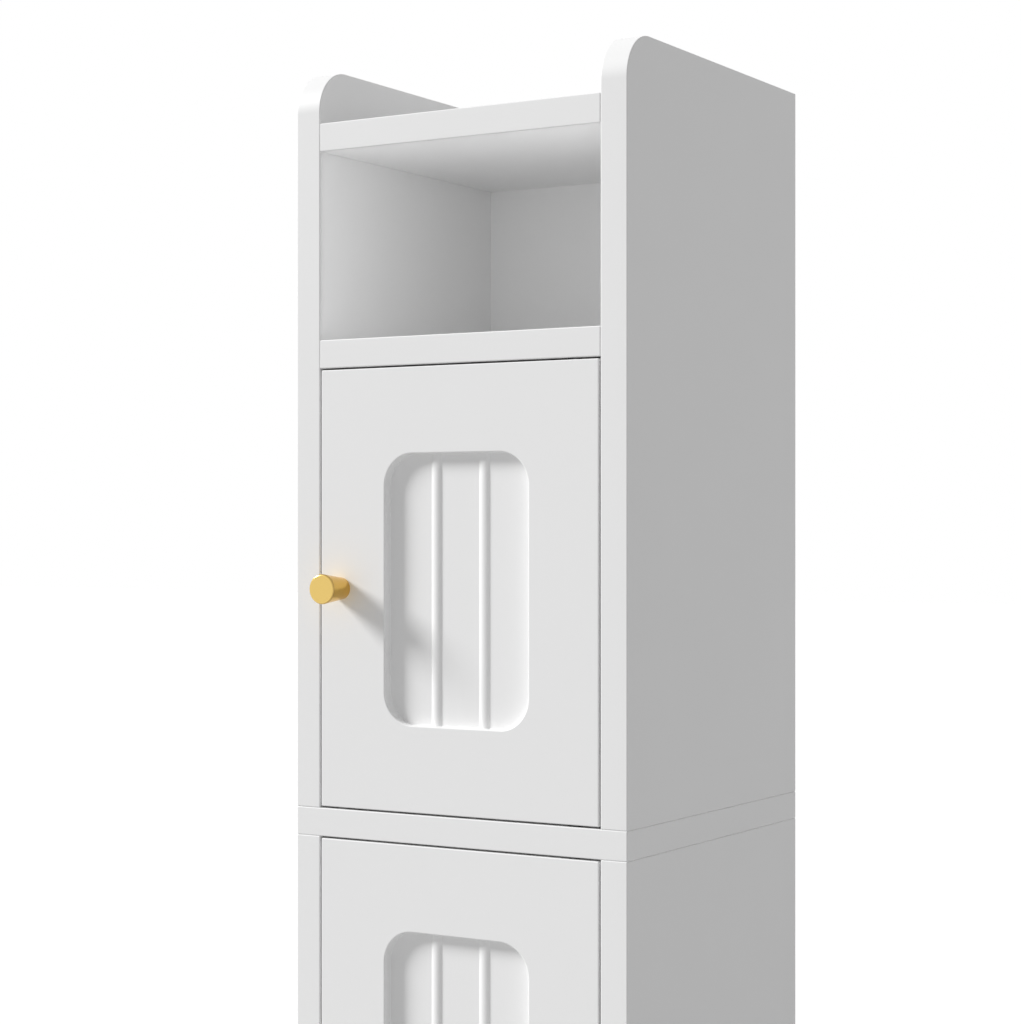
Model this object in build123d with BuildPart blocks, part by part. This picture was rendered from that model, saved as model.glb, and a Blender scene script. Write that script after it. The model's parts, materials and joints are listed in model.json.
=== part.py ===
from build123d import *
import os

# Narrow bathroom cabinet, built from flat boards. Millimetres, +Z up, +X to the right as seen
# from the front, and the doors face -Y. The origin lies on the floor, midway between the sides
# and midway between the knob faces and the rear edges.

# Boards
width = 200
depth = 200
board = 15
plinth_height = 40
lower_space = 337
upper_space = 233
bay_height = 100
wing_height = 30
wing_corner = 24
edge_radius = 0.6

# Back panels, held in grooves
back_thickness = 5
back_inset = 27.5
groove_depth = 5
groove_gap = 0.1

# Kick board
kick_setback = 15
kick_floor_gap = 1

# Doors
door_thickness = 15
door_gap = 1
corner_clearance = 0.35
pivot_depth = 4.6

# Recess in each door, with two raised beads
recess_side_margin = 40.45
recess_top_margin = 45
recess_bottom_margin = 45
recess_depth = 5.5
recess_corner = 17
recess_floor_radius = 0.5
recess_rim_radius = 0.7
bead_count = 2
bead_width = 6.4
bead_height = 1.1
bead_root = 0.5

# Knobs
knob_reach = 18
knob_face_radius = 8
knob_base_radius = 5.8
knob_edge = 1.2
knob_inset = 12.75
knob_hole_depth = 10

# Screws: a long one holds each knob, and small ones hold the catches, strikes and bracket
knob_screw_radius = 2
knob_screw_grip = 8
knob_screw_head_radius = 4
knob_screw_head_height = 2.2
small_screw_radius = 1.5
small_screw_length = 10
small_screw_head_radius = 2.8
small_screw_head_height = 1.6
screw_slot_width = 0.8
screw_slot_share = 0.5

# Clearances
fit_gap = 0.05
running_gap = 0.05
screw_hole_gap = 0.25
hole_bottom_gap = 0.5

# Pivot pins and their flanged bushes
pin_radius = 1.5
pin_in_door = 14
bush_wall = 1
bush_length = 6
bush_flange_radius = 3.6
bush_flange = 0.6

# Cam fastening of board ends: the bolt is screwed into one board and the cam sits in the other
cam_distance = 24
cam_radius = 7.5
cam_depth = 12.5
cam_sink = 0.3
cam_cavity_radius = 4.4
cam_slot_width = 1.4
cam_slot_length = 9
bolt_thread_radius = 2.5
bolt_thread_length = 11
bolt_collar_radius = 3.5
bolt_collar_length = 1.5
bolt_shank_radius = 3
bolt_neck_radius = 1.8
bolt_head_radius = 3.2
bolt_head_length = 3.6
bolt_clearance = 0.4
cam_cap_radius = 8.6
cam_cap_height = 0.9
cam_cap_peg_radius = 2.4
cam_cap_peg_length = 1.1
cam_socket_radius = 2.6
cam_socket_depth = 1.4

# Dowels
dowel_radius = 4
dowel_length = 30
dowel_in_face = 10
dowel_chamfer = 0.8

# Places of the fastenings along the depth, from the front edge
cam_front_inset = 45
cam_back_inset = 60
dowel_spacing = 31
lower_row_shift = 16
kick_dowel_inset = 9

# Adjustable shelf in the lower part
shelf_setback = 32
shelf_side_gap = 0.5
shelf_back_gap = 1.5
pin_row_start = 105
pin_row_pitch = 32
pin_row_count = 5
shelf_position = 2
shelf_pin_radius = 2.5
shelf_pin_in_side = 8
shelf_pin_flange_radius = 4
shelf_pin_flange = 1.2
shelf_pin_reach = 7
shelf_pin_front_inset = 30
shelf_pin_back_inset = 30

# Magnetic catches on the knob side
catch_offset = 34
catch_length = 46
catch_ear = 2
catch_body_length = 26
catch_body_depth = 13
catch_body_height = 11
catch_screw_spacing = 36
magnet_length = 16
magnet_height = 5
magnet_depth = 9
pole_thickness = 1
pole_reach = 0.6
strike_length = 44
strike_height = 9
strike_thickness = 1.2
strike_gap = 0.2
strike_screw_spacing = 34
strike_screw_length = 8

# Feet
glide_height = 2
glide_radius = 6.5
glide_stem_radius = 2.5
glide_stem_length = 10
glide_inset = 12

# Bracket that ties the cabinet to a wall
bracket_width = 30
bracket_foot = 24
bracket_height = 26
bracket_thickness = 1.5
bracket_wall_hole_radius = 2.5
bracket_screw_spacing = 16

# Places that follow from the sizes above
front_y = knob_reach - (depth + knob_reach) / 2
rear_y = front_y + depth
middle_y = (front_y + rear_y) / 2
inner_x = width / 2 - board
bottom_board_z = plinth_height
lower_floor_z = bottom_board_z + board
middle_board_z = lower_floor_z + lower_space
upper_floor_z = middle_board_z + board
divider_z = upper_floor_z + upper_space
bay_floor_z = divider_z + board
top_shelf_z = bay_floor_z + bay_height
top_face_z = top_shelf_z + board
total_height = top_face_z + wing_height
back_y = rear_y - back_inset
door_back_y = front_y + door_thickness
door_half = inner_x - door_gap
catch_x = -inner_x + catch_offset

# The pivot stands far enough from the door's hinge edge for the front corner to swing clear of
# the side board: the corner's sweep past that edge stays within the gap.
pivot_sweep = door_gap - corner_clearance
pivot_inset = (pivot_depth**2 - pivot_sweep**2) / (2 * pivot_sweep)
pivot_x = door_half - pivot_inset
pivot_y = front_y + pivot_depth


# Helpers
def board_blank(x_low, x_high, y_low, y_high, z_low, z_high):
    """A board cut to size, with its edges eased."""
    with BuildPart() as blank:
        with BuildSketch(Plane.XY.offset(z_low)):
            with Locations(((x_low + x_high) / 2, (y_low + y_high) / 2)):
                Rectangle(x_high - x_low, y_high - y_low)
        extrude(amount=z_high - z_low)
        fillet(blank.edges(), radius=edge_radius)
    return blank.part


def side_blank(side, z_low, z_high, corner=0):
    """A side board, on the right for side 1 and on the left for side -1."""
    with BuildPart() as blank:
        with BuildSketch(Plane.YZ.offset(side * (inner_x + board / 2))) as outline:
            with Locations((middle_y, (z_low + z_high) / 2)):
                Rectangle(depth, z_high - z_low)
            if corner:
                top_front = outline.vertices().group_by(Axis.Y)[-1].sort_by(Axis.X)[0]
                fillet(top_front, radius=corner)
        extrude(amount=board / 2, both=True)
        fillet(blank.edges(), radius=edge_radius)
    return blank.part


def cut_block(x_low, x_high, y_low, y_high, z_low, z_high):
    """Take a rectangular block out of the piece that is being built."""
    middle = ((x_low + x_high) / 2, (y_low + y_high) / 2, (z_low + z_high) / 2)
    with Locations(middle):
        Box(x_high - x_low, y_high - y_low, z_high - z_low, mode=Mode.SUBTRACT)


def drill(places, radius, depth_below):
    """Blind holes of one size, each square to its place."""
    with Locations(*places):
        Hole(radius, depth_below)


def turned(*steps):
    """A turned piece along +Z. Each step is a radius and a length, from the foot upwards."""
    foot_z = 0
    with BuildPart() as piece:
        for radius, length in steps:
            with Locations((0, 0, foot_z)):
                Cylinder(radius, length, align=(Align.CENTER, Align.CENTER, Align.MIN))
            foot_z += length
    return piece.part


def screw(shank_radius, length, head_radius, head_height):
    """A cross-head screw whose head sits on Z = 0, with its shank below."""
    with BuildPart() as piece:
        with Locations((0, 0, -length)):
            add(turned((shank_radius, length), (head_radius, head_height)))
        fillet(piece.edges().sort_by(Axis.Z)[-1], radius=head_height / 2)
        slot_depth = head_height * screw_slot_share
        with Locations((0, 0, head_height - slot_depth / 2)):
            Box(head_radius, screw_slot_width, slot_depth, mode=Mode.SUBTRACT)
            Box(screw_slot_width, head_radius, slot_depth, mode=Mode.SUBTRACT)
    return piece.part


# Fastening places. On each one Z points into the board whose edge is drilled, and X points to
# the face that its cam is set into. Its origin is where the two boards meet.
front_cam_y = front_y + cam_front_inset
back_cam_y = rear_y - cam_back_inset
middle_row_y = (front_cam_y + back_cam_y) / 2
cam_rows = [front_cam_y, back_cam_y]
dowel_rows = [middle_row_y - dowel_spacing / 2, middle_row_y + dowel_spacing / 2]


def shelf_end_places(side, z_middle, cam_face, rows):
    """Places where the end of a lying board meets a side board."""
    return [
        Plane(origin=(side * inner_x, y, z_middle), x_dir=(0, 0, cam_face), z_dir=(-side, 0, 0))
        for y in rows
    ]


def side_end_places(side, z_joint, direction, rows):
    """Places where the end of a side board meets the middle board."""
    return [
        Plane(
            origin=(side * (inner_x + board / 2), y, z_joint),
            x_dir=(-side, 0, 0),
            z_dir=(0, 0, direction),
        )
        for y in rows
    ]


def both_sides(places, *arguments):
    """The same places for the left and the right of the cabinet."""
    return places(-1, *arguments) + places(1, *arguments)


def shifted(rows):
    """Rows moved back, so that fastenings from below miss those from above."""
    return [y + lower_row_shift for y in rows]


top_cams = both_sides(shelf_end_places, top_shelf_z + board / 2, 1, cam_rows)
top_dowels = both_sides(shelf_end_places, top_shelf_z + board / 2, 1, dowel_rows)
divider_cams = both_sides(shelf_end_places, divider_z + board / 2, -1, cam_rows)
divider_dowels = both_sides(shelf_end_places, divider_z + board / 2, -1, dowel_rows)
bottom_cams = both_sides(shelf_end_places, bottom_board_z + board / 2, -1, cam_rows)
bottom_dowels = both_sides(shelf_end_places, bottom_board_z + board / 2, -1, dowel_rows)
upper_cams = both_sides(side_end_places, upper_floor_z, 1, cam_rows)
upper_dowels = both_sides(side_end_places, upper_floor_z, 1, dowel_rows)
lower_cams = both_sides(side_end_places, middle_board_z, -1, shifted(cam_rows))
lower_dowels = both_sides(side_end_places, middle_board_z, -1, shifted(dowel_rows))

kick_front_y = front_y + kick_setback
kick_bottom_z = glide_height + kick_floor_gap
kick_rows = [kick_front_y + board / 2]
kick_dowels = [
    place
    for z in (kick_bottom_z + kick_dowel_inset, plinth_height - kick_dowel_inset)
    for place in both_sides(shelf_end_places, z, 1, kick_rows)
]


def cam_seat(place):
    """Where a cam is set into its board: on the board's face, looking out of it."""
    origin = place.origin + place.z_dir * cam_distance + place.x_dir * board / 2
    return Plane(origin=origin, x_dir=place.z_dir, z_dir=place.x_dir)


def on_side(places, side):
    """Those places that lie on one side of the cabinet."""
    return [place for place in places if place.origin.X * side > 0]


def drill_cam_ends(cam_places, dowel_places):
    """Holes in the board whose edge is joined: for cams, bolts and dowels."""
    drill([cam_seat(place) for place in cam_places], cam_radius + fit_gap, cam_depth)
    drill(cam_places, bolt_collar_radius + fit_gap, cam_distance)
    drill_dowel_ends(dowel_places)


def drill_dowel_ends(dowel_places):
    """Holes for dowels in the edge of a board."""
    drill(dowel_places, dowel_radius + fit_gap, dowel_length - dowel_in_face + hole_bottom_gap)


def drill_faces(cam_places, dowel_places):
    """Holes in the board whose face is joined: for bolt threads and dowels."""
    if cam_places:
        drill(cam_places, bolt_thread_radius + fit_gap, bolt_thread_length + hole_bottom_gap)
    drill(dowel_places, dowel_radius + fit_gap, dowel_in_face + hole_bottom_gap)


# Pivot places, on the face of each board that a door turns against, looking out of the board
upper_top_pivot = Plane(origin=(pivot_x, pivot_y, divider_z), z_dir=(0, 0, -1))
upper_bottom_pivot = Plane(origin=(pivot_x, pivot_y, upper_floor_z), z_dir=(0, 0, 1))
lower_top_pivot = Plane(origin=(pivot_x, pivot_y, middle_board_z), z_dir=(0, 0, -1))
lower_bottom_pivot = Plane(origin=(pivot_x, pivot_y, lower_floor_z), z_dir=(0, 0, 1))
bush_radius = pin_radius + running_gap + bush_wall


def drill_pivot(place):
    """A hole for a pivot bush."""
    drill([place], bush_radius + fit_gap, bush_length + hole_bottom_gap / 2)


# Catch places, on the underside of a board, with X along the catch and Z down, out of the board
strike_back_y = door_back_y + strike_thickness
catch_middle_y = strike_back_y + strike_gap + pole_reach + catch_body_depth / 2
upper_catch_place = Plane(origin=(catch_x, catch_middle_y, divider_z), z_dir=(0, 0, -1))
lower_catch_place = Plane(origin=(catch_x, catch_middle_y, middle_board_z), z_dir=(0, 0, -1))


def pair_along(place, spacing):
    """Two places on one plane, spaced along its X, about its origin."""
    return [place.shift_origin(place.origin + place.x_dir * spacing / 2 * end) for end in (-1, 1)]


def drill_catch(place):
    """Pilot holes for a catch's screws."""
    drill(pair_along(place, catch_screw_spacing), small_screw_radius + fit_gap, small_screw_length)


# Grooves for the back panels
groove_front_y = back_y - groove_gap
groove_back_y = back_y + back_thickness + groove_gap
upper_back_low_z = upper_floor_z - groove_depth
upper_back_high_z = top_shelf_z + groove_depth
lower_back_low_z = lower_floor_z - groove_depth
lower_back_high_z = middle_board_z + groove_depth


def cut_side_groove(side, z_low, z_high):
    """A groove in the inner face of a side board."""
    near, far = sorted((side * (inner_x - groove_gap), side * (inner_x + groove_depth)))
    cut_block(near, far, groove_front_y, groove_back_y, z_low, z_high)


def cut_board_groove(z_low, z_high):
    """A groove across a lying board, from side to side."""
    reach = inner_x + groove_depth
    cut_block(-reach, reach, groove_front_y, groove_back_y, z_low, z_high)


# Upper sides, with their wings above the top shelf
def upper_side(side):
    """An upper side board with its holes and groove."""
    with BuildPart() as piece:
        add(side_blank(side, upper_floor_z, total_height, wing_corner))
        drill_cam_ends(on_side(upper_cams, side), on_side(upper_dowels, side))
        drill_faces(on_side(top_cams, side), on_side(top_dowels, side))
        drill_faces(on_side(divider_cams, side), on_side(divider_dowels, side))
        cut_side_groove(side, upper_floor_z, upper_back_high_z)
    return piece.part


with BuildPart() as upper_left_side:
    add(upper_side(-1))

with BuildPart() as upper_right_side:
    add(upper_side(1))

# Lower sides, which stand on the glides and carry the shelf pins
shelf_front_y = front_y + shelf_setback
shelf_back_y = back_y - shelf_back_gap
pin_columns = [shelf_front_y + shelf_pin_front_inset, shelf_back_y - shelf_pin_back_inset]
first_pin_z = lower_floor_z + pin_row_start
pin_heights = [first_pin_z + pin_row_pitch * row for row in range(pin_row_count)]
shelf_pin_z = first_pin_z + pin_row_pitch * shelf_position
glide_rows = [front_y + glide_inset, rear_y - glide_inset]
glide_places = [
    Plane(origin=(side * (inner_x + board / 2), y, glide_height), z_dir=(0, 0, -1))
    for side in (-1, 1)
    for y in glide_rows
]


def shelf_pin_places(side, heights):
    """Places of shelf pins on the inner face of a side, looking out of the board."""
    return [
        Plane(origin=(side * inner_x, y, z), x_dir=(0, 0, 1), z_dir=(-side, 0, 0))
        for y in pin_columns
        for z in heights
    ]


def lower_side(side):
    """A lower side board with its holes and groove."""
    with BuildPart() as piece:
        add(side_blank(side, glide_height, middle_board_z))
        drill_cam_ends(on_side(lower_cams, side), on_side(lower_dowels, side))
        drill_faces(on_side(bottom_cams, side), on_side(bottom_dowels, side))
        drill_faces([], on_side(kick_dowels, side))
        pin_hole_depth = shelf_pin_in_side + hole_bottom_gap
        drill(shelf_pin_places(side, pin_heights), shelf_pin_radius + fit_gap, pin_hole_depth)
        glide_hole_depth = glide_stem_length + hole_bottom_gap
        drill(on_side(glide_places, side), glide_stem_radius + fit_gap, glide_hole_depth)
        cut_side_groove(side, lower_back_low_z, middle_board_z)
    return piece.part


with BuildPart() as lower_left_side:
    add(lower_side(-1))

with BuildPart() as lower_right_side:
    add(lower_side(1))

# Lying boards
bracket_y = rear_y - bracket_foot / 2
bracket_screw_places = pair_along(
    Plane(origin=(0, bracket_y, top_face_z + bracket_thickness)), bracket_screw_spacing
)

with BuildPart() as top_shelf:
    add(board_blank(-inner_x, inner_x, front_y, rear_y, top_shelf_z, top_face_z))
    drill_cam_ends(top_cams, top_dowels)
    cut_board_groove(top_shelf_z, upper_back_high_z)
    drill(bracket_screw_places, small_screw_radius + fit_gap, small_screw_length + hole_bottom_gap)

with BuildPart() as divider_shelf:
    add(board_blank(-inner_x, inner_x, front_y, groove_front_y, divider_z, bay_floor_z))
    drill_cam_ends(divider_cams, divider_dowels)
    drill_pivot(upper_top_pivot)
    drill_catch(upper_catch_place)

with BuildPart() as middle_board:
    add(board_blank(-width / 2, width / 2, front_y, rear_y, middle_board_z, upper_floor_z))
    drill_faces(upper_cams, upper_dowels)
    drill_faces(lower_cams, lower_dowels)
    drill_pivot(upper_bottom_pivot)
    drill_pivot(lower_top_pivot)
    drill_catch(lower_catch_place)
    cut_board_groove(upper_back_low_z, upper_floor_z)
    cut_board_groove(middle_board_z, lower_back_high_z)

with BuildPart() as bottom_board:
    add(board_blank(-inner_x, inner_x, front_y, rear_y, bottom_board_z, lower_floor_z))
    drill_cam_ends(bottom_cams, bottom_dowels)
    drill_pivot(lower_bottom_pivot)
    cut_board_groove(lower_back_low_z, lower_floor_z)

with BuildPart() as kick_board:
    kick_back_y = kick_front_y + board
    add(board_blank(-inner_x, inner_x, kick_front_y, kick_back_y, kick_bottom_z, plinth_height))
    drill_dowel_ends(kick_dowels)

shelf_half = inner_x - shelf_side_gap
shelf_z = shelf_pin_z + shelf_pin_radius

with BuildPart() as lower_shelf:
    add(board_blank(-shelf_half, shelf_half, shelf_front_y, shelf_back_y, shelf_z, shelf_z + board))


# Back panels, a groove gap short of their grooves all round
def back_panel(z_low, z_high):
    """A thin back panel that stands in the grooves."""
    reach = inner_x + groove_depth - groove_gap
    with BuildPart() as piece:
        with BuildSketch(Plane.XY.offset(z_low + groove_gap)):
            with Locations((0, back_y + back_thickness / 2)):
                Rectangle(2 * reach, back_thickness)
        extrude(amount=z_high - z_low - 2 * groove_gap)
    return piece.part


with BuildPart() as upper_back_panel:
    add(back_panel(upper_back_low_z, upper_back_high_z))

with BuildPart() as lower_back_panel:
    add(back_panel(lower_back_low_z, lower_back_high_z))


# Door panels
def knob_place(z_low, z_high):
    """Middle of the knob's foot on the door's face, looking out of it."""
    knob_origin = (-door_half + knob_inset, front_y, (z_low + z_high) / 2)
    return Plane(origin=knob_origin, x_dir=(1, 0, 0), z_dir=(0, -1, 0))


def strike_place(z_high):
    """Middle of the strike plate on the back of a door, looking out of it."""
    strike_z = z_high + door_gap - catch_ear - (catch_body_height - catch_ear) / 2
    return Plane(origin=(catch_x, door_back_y, strike_z), x_dir=(1, 0, 0), z_dir=(0, 1, 0))


def door_panel(z_low, z_high):
    """A door with its recess, its beads and the holes for what it carries."""
    recess_half = door_half - recess_side_margin
    recess_low = z_low + recess_bottom_margin
    recess_high = z_high - recess_top_margin
    recess_height = recess_high - recess_low
    floor_y = front_y + recess_depth
    with BuildPart() as piece:
        add(board_blank(-door_half, door_half, front_y, door_back_y, z_low, z_high))
        with BuildSketch(Plane.XZ.offset(-front_y)):
            with Locations((0, (recess_low + recess_high) / 2)):
                RectangleRounded(2 * recess_half, recess_height, recess_corner)
        extrude(amount=-recess_depth, mode=Mode.SUBTRACT)
        rim = piece.edges().filter_by_position(Axis.Y, front_y, front_y)
        inside = recess_half + edge_radius
        fillet(rim.filter_by_position(Axis.X, -inside, inside), radius=recess_rim_radius)
        floor = piece.edges().filter_by_position(Axis.Y, floor_y, floor_y)
        fillet(floor, radius=recess_floor_radius)
        bead_spacing = 2 * recess_half / (bead_count + 1)
        with BuildSketch(Plane.XY.offset(recess_low)):
            for bead in range(bead_count):
                bead_x = -recess_half + (bead + 1) * bead_spacing
                left = (bead_x - bead_width / 2, floor_y)
                right = (bead_x + bead_width / 2, floor_y)
                with BuildLine():
                    ThreePointArc(left, (bead_x, floor_y - bead_height), right)
                    root_y = floor_y + bead_root
                    Polyline(right, (right[0], root_y), (left[0], root_y), left)
                make_face()
        extrude(amount=recess_height)
        knob_seat = knob_place(z_low, z_high)
        drill([knob_seat], knob_screw_radius + screw_hole_gap, door_thickness)
        pivot_hole_depth = pin_in_door + hole_bottom_gap
        drill([Plane(origin=(pivot_x, pivot_y, z_high))], pin_radius + fit_gap, pivot_hole_depth)
        foot = Plane(origin=(pivot_x, pivot_y, z_low), z_dir=(0, 0, -1))
        drill([foot], pin_radius + fit_gap, pivot_hole_depth)
        strike_holes = pair_along(strike_place(z_high), strike_screw_spacing)
        drill(strike_holes, small_screw_radius + fit_gap, strike_screw_length)
    return piece.part


upper_door_low = upper_floor_z + door_gap
upper_door_high = divider_z - door_gap
lower_door_low = lower_floor_z + door_gap
lower_door_high = middle_board_z - door_gap

with BuildPart() as upper_door_panel:
    add(door_panel(upper_door_low, upper_door_high))

with BuildPart() as lower_door_panel:
    add(door_panel(lower_door_low, lower_door_high))

# Knobs, turned as short cones that widen towards the face
with BuildPart() as knob:
    with BuildSketch(Plane.XZ):
        with BuildLine():
            Polyline(
                (0, 0),
                (knob_base_radius, 0),
                (knob_face_radius, knob_reach - knob_edge),
                (knob_face_radius - knob_edge, knob_reach),
                (0, knob_reach),
                close=True,
            )
        make_face()
    revolve(axis=Axis.Z)
    drill([Plane(origin=(0, 0, 0), z_dir=(0, 0, -1))], knob_screw_radius + fit_gap, knob_hole_depth)

knob_screw_length = door_thickness + knob_screw_grip
knob_screw = screw(
    knob_screw_radius, knob_screw_length, knob_screw_head_radius, knob_screw_head_height
)


def knob_screw_place(z_low, z_high):
    """Where the knob's screw sits on the back of the door."""
    front = knob_place(z_low, z_high)
    return Plane(origin=front.origin - front.z_dir * door_thickness, z_dir=-front.z_dir)


with BuildPart() as upper_knob:
    with Locations(knob_place(upper_door_low, upper_door_high)):
        add(knob.part)

with BuildPart() as lower_knob:
    with Locations(knob_place(lower_door_low, lower_door_high)):
        add(knob.part)

with BuildPart() as upper_knob_screw:
    with Locations(knob_screw_place(upper_door_low, upper_door_high)):
        add(knob_screw)

with BuildPart() as lower_knob_screw:
    with Locations(knob_screw_place(lower_door_low, lower_door_high)):
        add(knob_screw)

# Pivot pins, fixed in the doors and turning in the bushes
pin_length = pin_in_door + door_gap + bush_length
pivot_pin = turned((pin_radius, pin_length))


def pin_place(pivot):
    """Inner end of a pivot pin, deep in the door, looking towards its bush."""
    return Plane(origin=pivot.origin + pivot.z_dir * (pin_in_door + door_gap), z_dir=-pivot.z_dir)


with BuildPart() as upper_pivot_pins:
    with Locations(pin_place(upper_top_pivot), pin_place(upper_bottom_pivot)):
        add(pivot_pin)

with BuildPart() as lower_pivot_pins:
    with Locations(pin_place(lower_top_pivot), pin_place(lower_bottom_pivot)):
        add(pivot_pin)

with BuildPart() as bush:
    with Locations((0, 0, -bush_length)):
        add(turned((bush_radius, bush_length), (bush_flange_radius, bush_flange)))
    Hole(pin_radius + running_gap)

with BuildPart() as pivot_bushes:
    with Locations(upper_top_pivot, upper_bottom_pivot, lower_top_pivot, lower_bottom_pivot):
        add(bush.part)

# Cam fastenings
shank_length = cam_distance - cam_radius - bolt_clearance - bolt_collar_length
neck_length = cam_radius + bolt_clearance - bolt_head_length / 2

with BuildPart() as cam_bolt:
    with Locations((0, 0, -bolt_thread_length)):
        add(
            turned(
                (bolt_thread_radius, bolt_thread_length),
                (bolt_collar_radius, bolt_collar_length),
                (bolt_shank_radius, shank_length),
                (bolt_neck_radius, neck_length),
                (bolt_head_radius, bolt_head_length),
            )
        )

# The cam stands under its seat. The bolt's head lies in the cavity and its neck in the slot.
with BuildPart() as cam_lock:
    bolt_below_seat = board / 2
    with Locations((0, 0, -cam_depth)):
        add(turned((cam_radius - fit_gap, cam_depth - cam_sink)))
    with Locations((0, 0, -bolt_below_seat)):
        cavity_height = 2 * (bolt_head_radius + bolt_clearance)
        Cylinder(cam_cavity_radius, cavity_height, mode=Mode.SUBTRACT)
    slot_half = bolt_neck_radius + bolt_clearance
    cut_block(
        -cam_radius,
        0,
        -slot_half,
        slot_half,
        -bolt_below_seat - slot_half,
        -bolt_below_seat + slot_half,
    )
    with Locations((0, 0, -cam_sink)):
        Box(cam_slot_length, cam_slot_width, 2 * cam_socket_depth, mode=Mode.SUBTRACT)
        Box(cam_slot_width, cam_slot_length, 2 * cam_socket_depth, mode=Mode.SUBTRACT)
        Hole(cam_socket_radius, cam_socket_depth)

with BuildPart() as dowel:
    Cylinder(dowel_radius, dowel_length, align=(Align.CENTER, Align.CENTER, Align.MIN))
    chamfer(dowel.edges().filter_by(GeomType.CIRCLE), length=dowel_chamfer)

all_cams = top_cams + divider_cams + upper_cams + lower_cams + bottom_cams
all_dowels = top_dowels + divider_dowels + upper_dowels + lower_dowels + bottom_dowels + kick_dowels

with BuildPart() as cam_locks:
    with Locations(*[cam_seat(place) for place in all_cams]):
        add(cam_lock.part)

with BuildPart() as cam_bolts:
    with Locations(*all_cams):
        add(cam_bolt.part)

with BuildPart() as dowels:
    with Locations(*[place.offset(-dowel_in_face) for place in all_dowels]):
        add(dowel.part)

with BuildPart() as cam_cap:
    Cylinder(cam_cap_radius, cam_cap_height, align=(Align.CENTER, Align.CENTER, Align.MIN))
    chamfer(cam_cap.edges().sort_by(Axis.Z)[-1], length=cam_cap_height / 2)
    with Locations((0, 0, -cam_cap_peg_length)):
        add(turned((cam_cap_peg_radius, cam_cap_peg_length)))

with BuildPart() as cam_caps:
    with Locations(*[cam_seat(place) for place in top_cams]):
        add(cam_cap.part)

# Shelf pins
with BuildPart() as shelf_pin:
    with Locations((0, 0, -shelf_pin_in_side)):
        add(
            turned(
                (shelf_pin_radius, shelf_pin_in_side),
                (shelf_pin_flange_radius, shelf_pin_flange),
                (shelf_pin_radius, shelf_pin_reach),
            )
        )
    # The flange is cut level with the pin, where the shelf rests.
    cut_block(
        shelf_pin_radius,
        shelf_pin_flange_radius,
        -shelf_pin_flange_radius,
        shelf_pin_flange_radius,
        0,
        shelf_pin_flange,
    )

shelf_pin_spots = both_sides(shelf_pin_places, [shelf_pin_z])

with BuildPart() as shelf_pins:
    with Locations(*shelf_pin_spots):
        add(shelf_pin.part)

# Magnetic catches. The housing hangs from its ears, and the magnet lies between two pole plates.
pocket_length = magnet_length + 2 * fit_gap
pocket_height = magnet_height + 2 * (pole_thickness + fit_gap)
magnet_z = catch_ear + (catch_body_height - catch_ear) / 2

with BuildPart() as catch_housing:
    with Locations((0, 0, catch_ear / 2)):
        Box(catch_length, catch_body_depth, catch_ear)
    with Locations((0, 0, catch_body_height / 2)):
        Box(catch_body_length, catch_body_depth, catch_body_height)
    upright_edges = catch_housing.edges().filter_by(Axis.Z)
    fillet(upright_edges, radius=catch_ear / 2)
    pocket_middle = (0, catch_body_depth / 2, magnet_z)
    with Locations(pocket_middle):
        Box(pocket_length, 2 * (magnet_depth + fit_gap), pocket_height, mode=Mode.SUBTRACT)
    with Locations((-catch_screw_spacing / 2, 0), (catch_screw_spacing / 2, 0)):
        Hole(small_screw_radius + screw_hole_gap)

# In the catch's own frame Y points to the door.
magnet_y = catch_body_depth / 2 - magnet_depth / 2
pole_depth = magnet_depth + pole_reach

with BuildPart() as magnet:
    with Locations((0, magnet_y, magnet_z)):
        Box(magnet_length, magnet_depth, magnet_height)

with BuildPart() as poles:
    pole_y = catch_body_depth / 2 + pole_reach - pole_depth / 2
    pole_offset = (magnet_height + pole_thickness) / 2
    with Locations((0, pole_y, magnet_z - pole_offset), (0, pole_y, magnet_z + pole_offset)):
        Box(magnet_length, pole_depth, pole_thickness)

with BuildPart() as upper_catch_housing:
    with Locations(upper_catch_place):
        add(catch_housing.part)

with BuildPart() as lower_catch_housing:
    with Locations(lower_catch_place):
        add(catch_housing.part)

with BuildPart() as upper_catch_magnet:
    with Locations(upper_catch_place):
        add(magnet.part)

with BuildPart() as lower_catch_magnet:
    with Locations(lower_catch_place):
        add(magnet.part)

with BuildPart() as catch_pole_plates:
    with Locations(upper_catch_place, lower_catch_place):
        add(poles.part)

small_screw = screw(
    small_screw_radius,
    small_screw_length,
    small_screw_head_radius,
    small_screw_head_height,
)
catch_screw_places = [
    spot.offset(catch_ear)
    for place in (upper_catch_place, lower_catch_place)
    for spot in pair_along(place, catch_screw_spacing)
]

with BuildPart() as catch_screws:
    with Locations(*catch_screw_places):
        add(small_screw)

# Strike plates on the doors
with BuildPart() as strike_plate:
    with BuildSketch():
        RectangleRounded(strike_length, strike_height, strike_thickness)
    extrude(amount=strike_thickness)
    with Locations((-strike_screw_spacing / 2, 0), (strike_screw_spacing / 2, 0)):
        Hole(small_screw_radius + screw_hole_gap)

strike_screw = screw(
    small_screw_radius,
    strike_screw_length,
    small_screw_head_radius,
    small_screw_head_height,
)

with BuildPart() as upper_strike_plate:
    with Locations(strike_place(upper_door_high)):
        add(strike_plate.part)

with BuildPart() as lower_strike_plate:
    with Locations(strike_place(lower_door_high)):
        add(strike_plate.part)

with BuildPart() as upper_strike_screws:
    upper_spots = pair_along(strike_place(upper_door_high), strike_screw_spacing)
    with Locations(*[spot.offset(strike_thickness) for spot in upper_spots]):
        add(strike_screw)

with BuildPart() as lower_strike_screws:
    lower_spots = pair_along(strike_place(lower_door_high), strike_screw_spacing)
    with Locations(*[spot.offset(strike_thickness) for spot in lower_spots]):
        add(strike_screw)

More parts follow.
